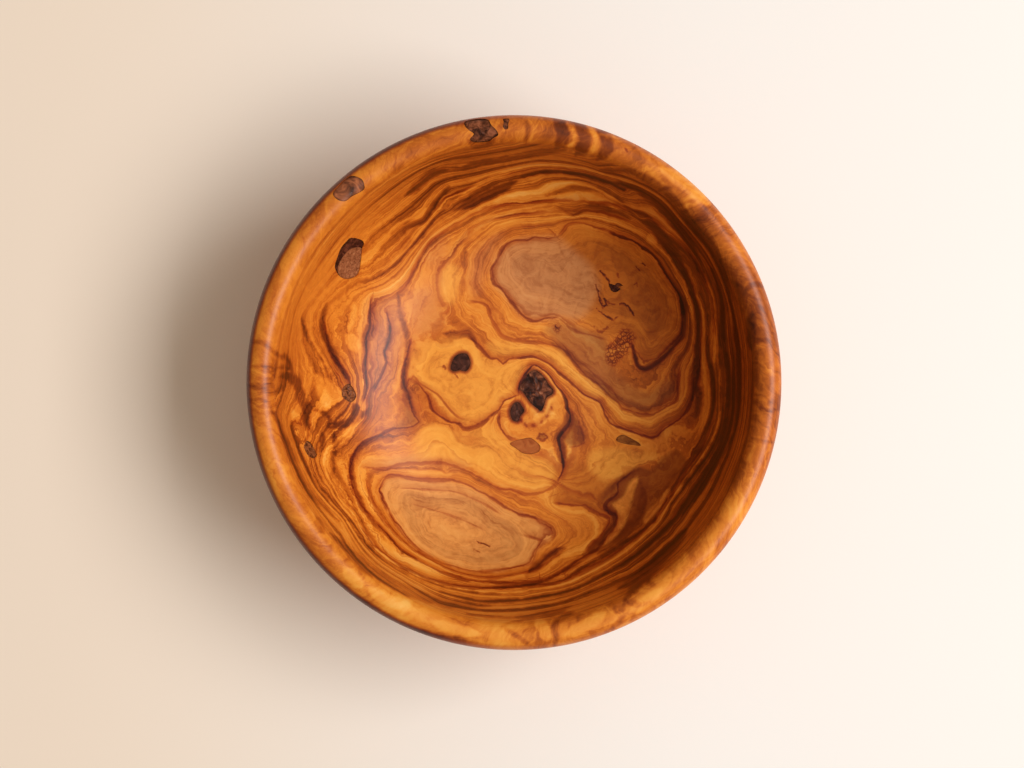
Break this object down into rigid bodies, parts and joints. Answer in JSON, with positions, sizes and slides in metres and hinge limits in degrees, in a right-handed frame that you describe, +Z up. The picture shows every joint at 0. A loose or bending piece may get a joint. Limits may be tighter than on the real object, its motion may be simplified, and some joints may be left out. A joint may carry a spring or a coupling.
{
  "type": "salad bowl",
  "caption": "Turned olive-wood salad bowl with a thick rounded rim, a coved inside, a low flat foot, and dead knots and bark set in its wood.",
  "frame": {"origin": "middle of the foot, on the surface that the bowl stands on", "axes": "+Z up along the turning axis; +X to the right and +Y to the top of the picture"},
  "size_m": [0.3, 0.3, 0.11],
  "materials": {
    "olive_wood": "satin oil",
    "knot_wood": "satin oil",
    "dark_bark": "rough, oiled"
  },
  "bodies": {
    "root": {"bowl_body": "olive_wood", "wall_knot": "knot_wood", "wall_knot_bark": "dark_bark", "side_knot": "knot_wood", "lower_knot": "knot_wood", "eye_knot": "dark_bark", "streak_knot": "knot_wood", "floor_knot": "dark_bark", "small_floor_knot": "dark_bark", "pith_plug": "dark_bark", "oval_knot": "knot_wood", "rim_bark": "dark_bark", "rim_pin_knot": "dark_bark", "rim_knot": "knot_wood"}
  },
  "joints": []
}
